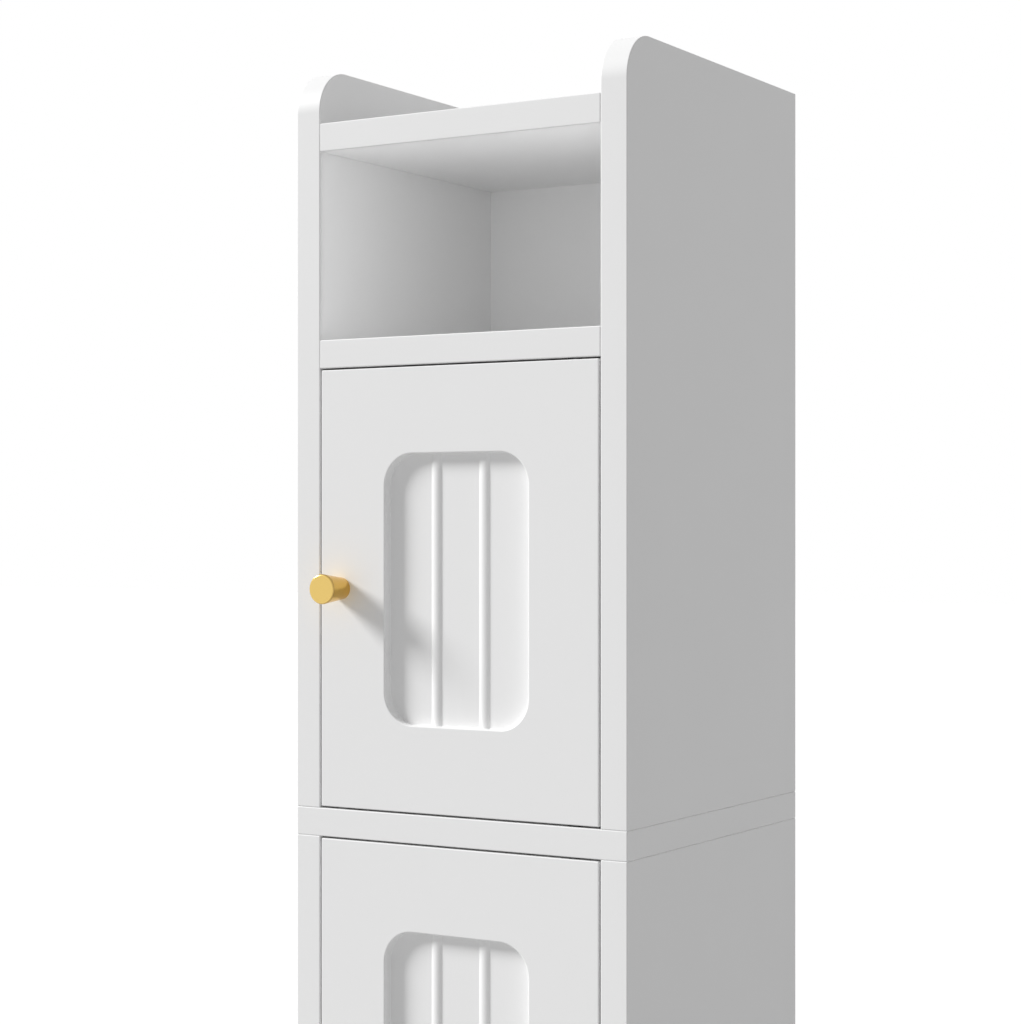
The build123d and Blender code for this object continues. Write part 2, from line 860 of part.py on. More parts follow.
# Foot glides
with BuildPart() as glide:
    with Locations((0, 0, -glide_stem_length)):
        add(turned((glide_stem_radius, glide_stem_length), (glide_radius, glide_height)))
    chamfer(glide.edges().sort_by(Axis.Z)[-1], length=glide_height / 4)

with BuildPart() as foot_glides:
    with Locations(*glide_places):
        add(glide.part)

# Wall bracket, an angle on the rear of the top shelf, flush with the cabinet's rear
with BuildPart() as wall_bracket:
    with BuildSketch(Plane.YZ):
        with BuildLine():
            heel = (rear_y, top_face_z)
            Polyline(
                heel,
                (rear_y - bracket_foot, top_face_z),
                (rear_y - bracket_foot, top_face_z + bracket_thickness),
                (rear_y - bracket_thickness, top_face_z + bracket_thickness),
                (rear_y - bracket_thickness, top_face_z + bracket_height),
                (rear_y, top_face_z + bracket_height),
                heel,
            )
        make_face()
    extrude(amount=bracket_width / 2, both=True)
    bend = wall_bracket.edges().filter_by(Axis.X).sort_by_distance((0, rear_y, top_face_z))
    fillet(bend[0], radius=bracket_thickness)
    drill(bracket_screw_places, small_screw_radius + screw_hole_gap, 2 * bracket_thickness)
    wall_hole_z = top_face_z + (bracket_height + bracket_thickness) / 2
    with Locations(Plane(origin=(0, rear_y, wall_hole_z), z_dir=(0, 1, 0))):
        Hole(bracket_wall_hole_radius, 2 * bracket_thickness)

with BuildPart() as bracket_screws:
    with Locations(*bracket_screw_places):
        add(small_screw)

# Write every piece to its own file
os.makedirs("parts", exist_ok=True)
pieces = {
    "upper_left_side": upper_left_side,
    "upper_right_side": upper_right_side,
    "lower_left_side": lower_left_side,
    "lower_right_side": lower_right_side,
    "top_shelf": top_shelf,
    "divider_shelf": divider_shelf,
    "middle_board": middle_board,
    "bottom_board": bottom_board,
    "kick_board": kick_board,
    "lower_shelf": lower_shelf,
    "upper_back_panel": upper_back_panel,
    "lower_back_panel": lower_back_panel,
    "upper_door_panel": upper_door_panel,
    "lower_door_panel": lower_door_panel,
    "upper_knob": upper_knob,
    "lower_knob": lower_knob,
    "upper_knob_screw": upper_knob_screw,
    "lower_knob_screw": lower_knob_screw,
    "upper_pivot_pins": upper_pivot_pins,
    "lower_pivot_pins": lower_pivot_pins,
    "pivot_bushes": pivot_bushes,
    "cam_locks": cam_locks,
    "cam_bolts": cam_bolts,
    "cam_caps": cam_caps,
    "dowels": dowels,
    "shelf_pins": shelf_pins,
    "upper_catch_housing": upper_catch_housing,
    "lower_catch_housing": lower_catch_housing,
    "upper_catch_magnet": upper_catch_magnet,
    "lower_catch_magnet": lower_catch_magnet,
    "catch_pole_plates": catch_pole_plates,
    "catch_screws": catch_screws,
    "upper_strike_plate": upper_strike_plate,
    "lower_strike_plate": lower_strike_plate,
    "upper_strike_screws": upper_strike_screws,
    "lower_strike_screws": lower_strike_screws,
    "foot_glides": foot_glides,
    "wall_bracket": wall_bracket,
    "bracket_screws": bracket_screws,
}
for name, piece in pieces.items():
    piece.part.label = name
    export_step(piece.part, f"parts/{name}.step")
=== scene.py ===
"""Looks of the narrow bathroom cabinet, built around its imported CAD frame.

Lengths are in metres: +Z is up, +X is to the right as seen from the front, and the doors face -Y.
Boards, doors and knobs are modelled here and stand for their CAD nodes. The hardware keeps its
CAD shape and gets its finish here.
"""

import json
import logging
import math
from collections.abc import Callable
from dataclasses import dataclass, field
from enum import Enum

import bmesh
import bpy
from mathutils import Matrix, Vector


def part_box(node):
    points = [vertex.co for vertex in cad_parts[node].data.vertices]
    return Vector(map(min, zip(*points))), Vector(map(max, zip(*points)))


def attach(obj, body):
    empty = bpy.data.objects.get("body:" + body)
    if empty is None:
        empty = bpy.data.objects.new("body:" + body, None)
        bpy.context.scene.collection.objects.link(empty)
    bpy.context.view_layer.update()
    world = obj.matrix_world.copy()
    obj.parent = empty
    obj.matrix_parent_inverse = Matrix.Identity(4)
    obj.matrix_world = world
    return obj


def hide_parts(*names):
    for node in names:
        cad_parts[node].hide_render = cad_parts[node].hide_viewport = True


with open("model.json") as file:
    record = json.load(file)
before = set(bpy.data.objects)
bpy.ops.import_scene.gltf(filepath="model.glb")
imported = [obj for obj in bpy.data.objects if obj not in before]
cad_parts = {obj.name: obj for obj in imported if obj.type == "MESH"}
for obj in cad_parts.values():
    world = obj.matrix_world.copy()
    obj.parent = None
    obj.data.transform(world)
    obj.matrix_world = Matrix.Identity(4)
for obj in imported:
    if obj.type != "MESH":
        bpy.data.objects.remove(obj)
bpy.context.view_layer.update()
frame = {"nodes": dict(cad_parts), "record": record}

log = logging.getLogger("cabinet")

MM = 0.001

NEAR = 0.01 * MM
OUTLINE_NEAR = 0.05 * MM
MERGE_DISTANCE = 0.002 * MM
SHARP_ANGLE = math.radians(40.0)
SMOOTH_ANGLE = math.radians(38.0)

CLOUD_DETAIL = 3.0
SMUDGE_DETAIL = 4.0
GRAIN_DETAIL = 2.0
FIBRE_DETAIL = 3.0
SMUDGES_PER_PATCH = 4.0
BUMP_STRENGTH = 0.3
RING_DISTORTION = 0.6

# A Mix node has several sockets of one name, so its colour sockets go by number.
MIX_COLOR_A = 6
MIX_COLOR_B = 7
MIX_COLOR_RESULT = 2


class Part(Enum):
    """The bodies of the cabinet, by their names in the frame."""

    CARCASS = "carcass"
    UPPER_DOOR = "upper_door"
    LOWER_DOOR = "lower_door"


class Side(Enum):
    """The two sides of the cabinet, by the sign of X."""

    LEFT = -1
    RIGHT = 1


class Facing(Enum):
    """Which way a drilled face looks, as a unit step out of the board."""

    DOWN = (0, 0, -1)
    RIGHTWARD = (1, 0, 0)
    LEFTWARD = (-1, 0, 0)

    def vector(self) -> Vector:
        """Gives the step as a vector.

        Returns:
            The step out of the board.
        """
        return Vector(self.value)


# Finishes


class Nodes:
    """A node tree that is filled from the left to the right."""

    def __init__(self, tree: bpy.types.NodeTree) -> None:
        """Starts with an empty tree.

        Args:
            tree: The tree of a material or of the world.
        """
        self.tree = tree
        self.tree.nodes.clear()

    def add(self, kind: str, **values: object) -> bpy.types.Node:
        """Adds a node.

        Args:
            kind: The node's type name.
            values: Its settings by name, and its input values by the name of the socket, with
                spaces written as underscores.

        Returns:
            The new node.
        """
        node = self.tree.nodes.new(kind)
        for name, value in values.items():
            socket = name.replace("_", " ")
            if socket in node.inputs:
                node.inputs[socket].default_value = value
            else:
                setattr(node, name, value)
        return node

    def link(
        self, start: bpy.types.Node, out: str | int, end: bpy.types.Node, into: str | int
    ) -> None:
        """Joins an output of one node to an input of another.

        Args:
            start: The node that the link leaves.
            out: The name or number of its output.
            end: The node that the link enters.
            into: The name or number of its input.
        """
        self.tree.links.new(start.outputs[out], end.inputs[into])


@dataclass(frozen=True)
class Finish:
    """A finish with a fine surface, in its simplest form: a plain, slightly uneven one.

    Attributes:
        slot: The record's material slot.
        color: Base colour, linear.
        darker: The same colour where the surface is a little darker.
        roughness: Lowest and highest roughness.
        metallic: 1 for bare or plated metal.
        grain: Fine features to the metre.
        relief: How far the fine features stand up, in metres.
        patches: Features to the metre of the slow change in tone.
    """

    slot: str
    color: tuple[float, float, float]
    darker: tuple[float, float, float]
    roughness: tuple[float, float]
    metallic: float = 0.0
    grain: float = 900.0
    relief: float = 0.02 * MM
    patches: float = 12.0

    def material(self) -> bpy.types.Material:
        """Builds the material.

        Returns:
            A new material on Object coordinates.
        """
        made = bpy.data.materials.new(self.slot)
        made.use_nodes = True
        nodes = Nodes(made.node_tree)
        surface = nodes.add("ShaderNodeBsdfPrincipled", Metallic=self.metallic)
        output = nodes.add("ShaderNodeOutputMaterial")
        nodes.link(surface, "BSDF", output, "Surface")
        place = nodes.add("ShaderNodeTexCoord")
        self.paint(nodes, place, surface)
        self.roughen(nodes, place, surface)
        self.emboss(nodes, place, surface)
        made.diffuse_color = (*self.color, 1.0)
        return made

    def paint(self, nodes: Nodes, place: bpy.types.Node, surface: bpy.types.Node) -> None:
        """Gives the base colour its slow change in tone.

        Args:
            nodes: The material's nodes.
            place: The coordinates.
            surface: The shader.
        """
        clouds = nodes.add("ShaderNodeTexNoise", Scale=self.patches, Detail=CLOUD_DETAIL)
        tone = nodes.add("ShaderNodeMix", data_type="RGBA")
        tone.inputs[MIX_COLOR_A].default_value = (*self.darker, 1.0)
        tone.inputs[MIX_COLOR_B].default_value = (*self.color, 1.0)
        nodes.link(place, "Object", clouds, "Vector")
        nodes.link(clouds, "Fac", tone, "Factor")
        nodes.link(tone, MIX_COLOR_RESULT, surface, "Base Color")

    def roughen(self, nodes: Nodes, place: bpy.types.Node, surface: bpy.types.Node) -> None:
        """Lets the roughness wander between its two ends.

        Args:
            nodes: The material's nodes.
            place: The coordinates.
            surface: The shader.
        """
        smudges = nodes.add(
            "ShaderNodeTexNoise", Scale=self.patches * SMUDGES_PER_PATCH, Detail=SMUDGE_DETAIL
        )
        spread = nodes.add(
            "ShaderNodeMapRange", To_Min=self.roughness[0], To_Max=self.roughness[1]
        )
        nodes.link(place, "Object", smudges, "Vector")
        nodes.link(smudges, "Fac", spread, "Value")
        nodes.link(spread, "Result", surface, "Roughness")

    def emboss(self, nodes: Nodes, place: bpy.types.Node, surface: bpy.types.Node) -> None:
        """Raises the fine features.

        Args:
            nodes: The material's nodes.
            place: The coordinates.
            surface: The shader.
        """
        grains = nodes.add("ShaderNodeTexNoise", Scale=self.grain, Detail=GRAIN_DETAIL)
        nodes.link(place, "Object", grains, "Vector")
        self.raise_from(nodes, grains, "Fac", surface)

    def raise_from(
        self, nodes: Nodes, source: bpy.types.Node, out: str, surface: bpy.types.Node
    ) -> None:
        """Turns a height into the shader's normal.

        Args:
            nodes: The material's nodes.
            source: The node that gives the height.
            out: The name of its output.
            surface: The shader.
        """
        bump = nodes.add("ShaderNodeBump", Strength=BUMP_STRENGTH, Distance=self.relief)
        nodes.link(source, out, bump, "Height")
        nodes.link(bump, "Normal", surface, "Normal")


@dataclass(frozen=True)
class StretchedFinish(Finish):
    """A finish whose fine features are long in one direction, such as wood grain.

    Attributes:
        stretch: How much the pattern is squeezed along X, Y and Z.
    """

    stretch: tuple[float, float, float] = (1.0, 1.0, 0.1)

    def emboss(self, nodes: Nodes, place: bpy.types.Node, surface: bpy.types.Node) -> None:
        """Raises long fine features.

        Args:
            nodes: The material's nodes.
            place: The coordinates.
            surface: The shader.
        """
        along = nodes.add("ShaderNodeMapping", Scale=self.stretch)
        fibres = nodes.add("ShaderNodeTexNoise", Scale=self.grain, Detail=FIBRE_DETAIL)
        nodes.link(place, "Object", along, "Vector")
        nodes.link(along, "Vector", fibres, "Vector")
        self.raise_from(nodes, fibres, "Fac", surface)


@dataclass(frozen=True)
class CastFinish(Finish):
    """A dull cast or pressed surface, pitted in small cells."""

    def emboss(self, nodes: Nodes, place: bpy.types.Node, surface: bpy.types.Node) -> None:
        """Raises small cells.

        Args:
            nodes: The material's nodes.
            place: The coordinates.
            surface: The shader.
        """
        cells = nodes.add("ShaderNodeTexVoronoi", Scale=self.grain)
        nodes.link(place, "Object", cells, "Vector")
        self.raise_from(nodes, cells, "Distance", surface)


@dataclass(frozen=True)
class TurnedFinish(Finish):
    """A fine turned metal, whose tool marks ring an axis that runs along Y.

    The colour changes along that axis: the plain one on the face, the darker one on its rounded
    rim as a painted dark reflection and a deeper one on the side behind the rim as a painted
    reflection of the shaded surroundings. The places where it changes are shares of a span that
    starts at the face and is as long as span_rims rims.

    Attributes:
        centre: A point on the axis.
        face_y: Y of the face.
        rim: Length of the rim along the axis.
        side_reflection_color: Colour of the side, linear: a painted reflection of the shaded
            surroundings.
        span_rims: Length of the span, in rims.
        face_end: Where the face's colour ends.
        rim_start: Where the rim's colour is reached.
        rim_end: Where the rim's colour ends.
        side_start: Where the side's colour is reached.
    """

    centre: tuple[float, float, float] = (0.0, 0.0, 0.0)
    face_y: float = 0.0
    rim: float = 1.0 * MM
    # The side's colour is a painted darker reflection of the shaded surroundings, over the same
    # metal as the face.
    side_reflection_color: tuple[float, float, float] = (0.77, 0.49, 0.105)
    span_rims: float = 2.0
    face_end: float = 0.04
    rim_start: float = 0.12
    rim_end: float = 0.46
    side_start: float = 0.6

    def paint(self, nodes: Nodes, place: bpy.types.Node, surface: bpy.types.Node) -> None:
        """Gives the face its colour, the rim a painted dark reflection and the side a deeper one.

        Args:
            nodes: The material's nodes.
            place: The coordinates.
            surface: The shader.
        """
        split = nodes.add("ShaderNodeSeparateXYZ")
        span_end = self.face_y + self.span_rims * self.rim
        along = nodes.add("ShaderNodeMapRange", From_Min=self.face_y, From_Max=span_end)
        painted_reflection_bands = nodes.add("ShaderNodeValToRGB")
        stops = painted_reflection_bands.color_ramp.elements
        stops[0].position, stops[0].color = self.face_end, (*self.color, 1.0)
        stops[1].position, stops[1].color = self.side_start, (*self.side_reflection_color, 1.0)
        # The rim's stops in the darker colour are a painted dark reflection; the side's stop is a
        # painted reflection of the shaded surroundings.
        for position in (self.rim_start, self.rim_end):
            stops.new(position).color = (*self.darker, 1.0)
        nodes.link(place, "Object", split, "Vector")
        nodes.link(split, "Y", along, "Value")
        nodes.link(along, "Result", painted_reflection_bands, "Fac")
        nodes.link(painted_reflection_bands, "Color", surface, "Base Color")

    def emboss(self, nodes: Nodes, place: bpy.types.Node, surface: bpy.types.Node) -> None:
        """Raises the rings that the tool leaves.

        Args:
            nodes: The material's nodes.
            place: The coordinates.
            surface: The shader.
        """
        centred = nodes.add("ShaderNodeMapping", Location=[-value for value in self.centre])
        rings = nodes.add(
            "ShaderNodeTexWave",
            wave_type="RINGS",
            rings_direction="Y",
            Scale=self.grain,
            Distortion=RING_DISTORTION,
        )
        nodes.link(place, "Object", centred, "Vector")
        nodes.link(centred, "Vector", rings, "Vector")
        self.raise_from(nodes, rings, "Fac", surface)


PAINTED_BOARD = Finish(
    slot="painted_board",
    color=(0.92, 0.92, 0.92),
    darker=(0.91, 0.91, 0.91),
    roughness=(0.4, 0.5),
    grain=1400.0,
    relief=0.01 * MM,
    patches=9.0,
)
BACK_BOARD = Finish(
    slot="back_board",
    color=(0.92, 0.92, 0.92),
    darker=(0.905, 0.905, 0.905),
    roughness=(0.5, 0.6),
    grain=1100.0,
    relief=0.015 * MM,
)
ZINC_PLATE = Finish(
    slot="zinc_plated_steel",
    color=(0.66, 0.67, 0.7),
    darker=(0.56, 0.58, 0.62),
    roughness=(0.24, 0.38),
    metallic=1.0,
    grain=1600.0,
    relief=0.01 * MM,
    patches=160.0,
)
ZINC_ALLOY = CastFinish(
    slot="zinc_alloy",
    color=(0.6, 0.6, 0.62),
    darker=(0.48, 0.48, 0.5),
    roughness=(0.42, 0.58),
    metallic=1.0,
    grain=1500.0,
    relief=0.03 * MM,
    patches=200.0,
)
NYLON = Finish(
    slot="nylon",
    color=(0.035, 0.035, 0.037),
    darker=(0.025, 0.025, 0.027),
    roughness=(0.42, 0.52),
    grain=2000.0,
    patches=150.0,
)
WHITE_PLASTIC = Finish(
    slot="white_plastic",
    color=(0.84, 0.84, 0.84),
    darker=(0.81, 0.81, 0.81),
    roughness=(0.36, 0.46),
    grain=2200.0,
    patches=80.0,
)
GREY_PLASTIC = Finish(
    slot="grey_plastic",
    color=(0.4, 0.4, 0.41),
    darker=(0.35, 0.35, 0.36),
    roughness=(0.45, 0.58),
    grain=2200.0,
    patches=120.0,
)
FERRITE = CastFinish(
    slot="ferrite",
    color=(0.05, 0.05, 0.055),
    darker=(0.03, 0.03, 0.034),
    roughness=(0.55, 0.7),
    grain=2600.0,
    relief=0.02 * MM,
    patches=300.0,
)
BEECH = StretchedFinish(
    slot="beech",
    color=(0.72, 0.52, 0.33),
    darker=(0.6, 0.41, 0.24),
    roughness=(0.55, 0.68),
    grain=1800.0,
    relief=0.05 * MM,
    patches=140.0,
    stretch=(0.08, 1.0, 1.0),
)


def satin_gold(centre: Vector, face_y: float, rim: float) -> TurnedFinish:
    """The gold of a knob.

    Args:
        centre: A point on the knob's axis.
        face_y: Y of the knob's face.
        rim: Rounding of the face's edge.

    Returns:
        The finish, with its tool marks round that axis.
    """
    return TurnedFinish(
        slot="satin_gold",
        color=(0.745, 0.53, 0.17),
        # The darker colour is the rim's painted dark reflection.
        darker=(0.5, 0.33, 0.1),
        roughness=(0.2, 0.26),
        metallic=1.0,
        grain=900.0,
        relief=0.004 * MM,
        patches=120.0,
        centre=tuple(centre),
        face_y=face_y,
        rim=rim,
    )


# Shaping, as by hand


def deselect_all() -> None:
    """Leaves object mode with nothing selected."""
    if bpy.context.object and bpy.context.object.mode != "OBJECT":
        bpy.ops.object.mode_set(mode="OBJECT")
    bpy.ops.object.select_all(action="DESELECT")


def pick(piece: bpy.types.Object) -> None:
    """Makes one piece the only one selected, and the active one.

    Args:
        piece: The piece.
    """
    deselect_all()
    piece.select_set(True)
    bpy.context.view_layer.objects.active = piece


def settle(piece: bpy.types.Object) -> None:
    """Moves a piece's place, turn and size into its mesh.

    Args:
        piece: The piece.
    """
    pick(piece)
    bpy.ops.object.transform_apply(location=True, rotation=True, scale=True)


def add_block(name: str, low: Vector, high: Vector) -> bpy.types.Object:
    """Adds a block between two corners.

    Args:
        name: The new piece's name.
        low: Its lowest corner.
        high: Its highest corner.

    Returns:
        The block, with its place in its mesh.
    """
    deselect_all()
    bpy.ops.mesh.primitive_cube_add(size=1.0, location=(low + high) / 2, scale=high - low)
    block = bpy.context.object
    block.name = name
    settle(block)
    return block


def add_rod(name: str, radius: float, start: Vector, end: Vector, sides: int) -> bpy.types.Object:
    """Adds a round rod between two points.

    Args:
        name: The new piece's name.
        radius: Its radius.
        start: The middle of one end.
        end: The middle of the other end.
        sides: How many faces go round it.

    Returns:
        The rod, with its place in its mesh.
    """
    deselect_all()
    along = end - start
    bpy.ops.mesh.primitive_cylinder_add(
        vertices=sides,
        radius=radius,
        depth=along.length,
        location=(start + end) / 2,
        rotation=along.to_track_quat("Z", "Y").to_euler(),
    )
    rod = bpy.context.object
    rod.name = name
    settle(rod)
    return rod


def start_edge_choice(piece: bpy.types.Object) -> None:
    """Enters edit mode on edges, with none of them selected.

    Args:
        piece: The piece.
    """
    pick(piece)
    bpy.ops.object.mode_set(mode="EDIT")
    bpy.ops.mesh.select_mode(type="EDGE")
    bpy.ops.mesh.select_all(action="DESELECT")


def round_chosen(radius: float, segments: int) -> None:
    """Rounds the selected edges and leaves edit mode.

    Args:
        radius: The radius.
        segments: How many faces the rounding has.
    """
    bpy.ops.mesh.bevel(offset=radius, segments=segments, profile=0.5, affect="EDGES")
    bpy.ops.object.mode_set(mode="OBJECT")


def select_edges(piece: bpy.types.Object, chosen: Callable[[Vector, Vector], bool]) -> None:
    """Enters edit mode with some of a piece's edges selected.

    Args:
        piece: The piece.
        chosen: Says of an edge's two ends whether the edge is wanted.
    """
    start_edge_choice(piece)
    mesh = bmesh.from_edit_mesh(piece.data)
    for edge in mesh.edges:
        edge.select_set(chosen(edge.verts[0].co, edge.verts[1].co))
    mesh.select_flush_mode()
    bmesh.update_edit_mesh(piece.data)


def round_edges(
    piece: bpy.types.Object,
    chosen: Callable[[Vector, Vector], bool],
    radius: float,
    segments: int,
) -> None:
    """Rounds some of a piece's edges.

    Args:
        piece: The piece.
        chosen: Says of an edge's two ends whether the edge is rounded.
        radius: The radius.
        segments: How many faces the rounding has.
    """
    select_edges(piece, chosen)
    round_chosen(radius, segments)


def ease_sharp_edges(piece: bpy.types.Object, radius: float, segments: int) -> None:
    """Rounds every sharp edge of a piece.

    Args:
        piece: The piece.
        radius: The radius.
        segments: How many faces the rounding has.
    """
    start_edge_choice(piece)
    bpy.ops.mesh.edges_select_sharp(sharpness=SHARP_ANGLE)
    round_chosen(radius, segments)


def cut_away(piece: bpy.types.Object, cutter: bpy.types.Object) -> None:
    """Takes a cutter's shape out of a piece, and throws the cutter away.

    Args:
        piece: The piece that is cut.
        cutter: The shape that is taken out.
    """
    pick(piece)
    cut = piece.modifiers.new("cut", "BOOLEAN")
    cut.operation = "DIFFERENCE"
    cut.solver = "EXACT"
    cut.object = cutter
    bpy.ops.object.modifier_apply(modifier=cut.name)
    bpy.data.objects.remove(cutter)


def clean_and_smooth(piece: bpy.types.Object) -> None:
    """Merges doubles, turns all faces outwards and shades the rounded parts smoothly.

    Args:
        piece: The piece.
    """
    pick(piece)
    bpy.ops.object.mode_set(mode="EDIT")
    bpy.ops.mesh.select_all(action="SELECT")
    bpy.ops.mesh.remove_doubles(threshold=MERGE_DISTANCE)
    bpy.ops.mesh.normals_make_consistent(inside=False)
    bpy.ops.object.mode_set(mode="OBJECT")
    bpy.ops.object.shade_smooth_by_angle(angle=SMOOTH_ANGLE)
    weighted = piece.modifiers.new("weighted", "WEIGHTED_NORMAL")
    weighted.mode = "FACE_AREA"
    weighted.keep_sharp = True
    bpy.ops.object.modifier_apply(modifier=weighted.name)


def dress(piece: bpy.types.Object, material: bpy.types.Material) -> None:
    """Gives a piece its only material.

    Args:
        piece: The piece.
        material: The material.
    """
    piece.data.materials.clear()
    piece.data.materials.append(material)


def hand_over(
    piece: bpy.types.Object, node: str, part: Part, material: bpy.types.Material
) -> None:
    """Dresses a finished piece and lets it stand for its CAD node.

    Args:
        piece: The finished piece.
        node: The CAD node that it replaces.
        part: The body that it rides on.
        material: Its material.
    """
    dress(piece, material)
    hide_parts(node)
    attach(piece, part.value)
    log.info("%s: %d faces, rides on %s", piece.name, len(piece.data.polygons), part.value)


# Boards


@dataclass
class Hole:
    """A round blind hole in a face of a board.

    Attributes:
        mouth: The middle of its mouth.
        facing: The way its mouth looks.
        radius: Its radius.
        depth: Its depth.
        overshoot: How far its drill stands out of its mouth.
        sides: Faces round it.
    """

    mouth: Vector
    facing: Facing
    radius: float
    depth: float
    overshoot: float = 1.0 * MM
    sides: int = 48

    def cutter(self) -> bpy.types.Object:
        """Adds the rod that drills the hole.

        Returns:
            The rod, standing a little out of the hole's mouth.
        """
        out = self.facing.vector()
        start = self.mouth - out * self.depth
        end = self.mouth + out * self.overshoot
        return add_rod("drill", self.radius, start, end, self.sides)


@dataclass
class Board:
    """A painted board with eased edges, as large as its CAD node.

    Attributes:
        node: The CAD node that it stands for.
        part: The body that it rides on.
        holes: Holes that stay open to view.
        edge_radius: How far its edges are eased.
        edge_segments: Faces across an eased edge.
    """

    node: str
    part: Part = Part.CARCASS
    holes: list[Hole] = field(default_factory=list)
    edge_radius: float = 0.6 * MM
    edge_segments: int = 4

    def build(self, paint: bpy.types.Material) -> bpy.types.Object:
        """Builds the board and puts it in place of its node.

        Args:
            paint: The board's material.

        Returns:
            The finished board.
        """
        board = self.blank()
        ease_sharp_edges(board, self.edge_radius, self.edge_segments)
        self.shape(board)
        for hole in self.holes:
            cut_away(board, hole.cutter())
        clean_and_smooth(board)
        hand_over(board, self.node, self.part, paint)
        return board

    def blank(self) -> bpy.types.Object:
        """Adds the plain board, before its edges are eased.

        Returns:
            The board, as large as its CAD node.
        """
        low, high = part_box(self.node)
        return add_block(f"{self.node}_board", low, high)

    def shape(self, board: bpy.types.Object) -> None:
        """Shapes the board further. A plain board needs nothing more.

        Args:
            board: The board, with its edges eased.
        """


@dataclass
class WingedSide(Board):
    """An upper side, whose top front corner is a large quarter round.

    Attributes:
        corner_radius: Radius of that corner.
        corner_segments: Faces round that corner.
    """

    corner_radius: float = 24.0 * MM
    corner_segments: int = 40

    def blank(self) -> bpy.types.Object:
        """Adds the board with its large corner.

        Returns:
            The board, as large as its CAD node.
        """
        low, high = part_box(self.node)
        board = add_block(f"{self.node}_board", low, high)

        def top_front(a: Vector, b: Vector) -> bool:
            return all(abs(p.z - high.z) < NEAR and abs(p.y - low.y) < NEAR for p in (a, b))

        round_edges(board, top_front, self.corner_radius, self.corner_segments)
        return board


@dataclass
class DoorPanel(Board):
    """A door with its routed recess and two beads.

    Attributes:
        side_margin: From the door's sides to the recess.
        end_margin: From the door's top and bottom to the recess.
        depth: Depth of the recess.
        corner_radius: Corners of the recess, seen from the front.
        corner_segments: Faces round such a corner.
        floor_radius: Rounding where the walls meet the floor.
        floor_segments: Faces across that rounding.
        rim_radius: Rounding of the recess's rim.
        rim_segments: Faces across that rounding.
        overshoot: How far the recess's cutter stands out of the door's face.
        bead_count: Number of beads.
        bead_width: Width of a bead at its foot.
        bead_height: Height of a bead over the floor.
        bead_sides: Faces round the rod that a bead is part of.
    """

    side_margin: float = 40.45 * MM
    end_margin: float = 45.0 * MM
    depth: float = 5.5 * MM
    corner_radius: float = 17.0 * MM
    corner_segments: int = 24
    floor_radius: float = 0.5 * MM
    floor_segments: int = 4
    rim_radius: float = 0.7 * MM
    rim_segments: int = 5
    overshoot: float = 2.0 * MM
    bead_count: int = 2
    bead_width: float = 6.4 * MM
    bead_height: float = 1.1 * MM
    bead_sides: int = 160

    def shape(self, board: bpy.types.Object) -> None:
        """Routs the recess and rounds its rim.

        Args:
            board: The door's blank, with its edges eased.
        """
        low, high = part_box(self.node)
        cut_away(board, self.recess_cutter(low, high))

        def on_rim(a: Vector, b: Vector) -> bool:
            return all(
                abs(p.y - low.y) < NEAR and self.is_on_outline(p, low, high) for p in (a, b)
            )

        round_edges(board, on_rim, self.rim_radius, self.rim_segments)

    def is_on_outline(self, point: Vector, low: Vector, high: Vector) -> bool:
        """Whether a point lies on the recess's outline, seen from the front.

        Args:
            point: The point.
            low: The door's lowest corner.
            high: The door's highest corner.

        Returns:
            True on the outline.
        """
        middle = (low + high) / 2
        half_x = (high.x - low.x) / 2 - self.side_margin - self.corner_radius
        half_z = (high.z - low.z) / 2 - self.end_margin - self.corner_radius
        past_x = max(abs(point.x - middle.x) - half_x, 0.0)
        past_z = max(abs(point.z - middle.z) - half_z, 0.0)
        return abs(math.hypot(past_x, past_z) - self.corner_radius) < OUTLINE_NEAR

    def recess_cutter(self, low: Vector, high: Vector) -> bpy.types.Object:
        """Adds the block that routs the recess, grooved where the beads stay.

        Args:
            low: The door's lowest corner.
            high: The door's highest corner.

        Returns:
            The cutter.
        """
        floor_y = low.y + self.depth
        cutter = add_block(
            "recess",
            Vector((low.x + self.side_margin, low.y - self.overshoot, low.z + self.end_margin)),
            Vector((high.x - self.side_margin, floor_y, high.z - self.end_margin)),
        )

        def corner(a: Vector, b: Vector) -> bool:
            return abs(a.y - b.y) > self.depth

        round_edges(cutter, corner, self.corner_radius, self.corner_segments)

        def floor_edge(a: Vector, b: Vector) -> bool:
            return all(abs(p.y - floor_y) < NEAR for p in (a, b))

        round_edges(cutter, floor_edge, self.floor_radius, self.floor_segments)
        for bead in range(self.bead_count):
            cut_away(cutter, self.bead_rod(bead, low, high, floor_y))
        return cutter

    def bead_rod(self, bead: int, low: Vector, high: Vector, floor_y: float) -> bpy.types.Object:
        """Adds the rod whose proud part is a bead.

        Args:
            bead: The bead's number from the left, from 0.
            low: The door's lowest corner.
            high: The door's highest corner.
            floor_y: Y of the recess's floor.

        Returns:
            The rod, longer than the recess is high.
        """
        half_width = self.bead_width / 2
        radius = (half_width**2 + self.bead_height**2) / (2 * self.bead_height)
        recess_width = high.x - low.x - 2 * self.side_margin
        x = low.x + self.side_margin + recess_width * (bead + 1) / (self.bead_count + 1)
        y = floor_y - self.bead_height + radius
        start = Vector((x, y, low.z))
        end = Vector((x, y, high.z))
        return add_rod("bead", radius, start, end, self.bead_sides)


# Knobs


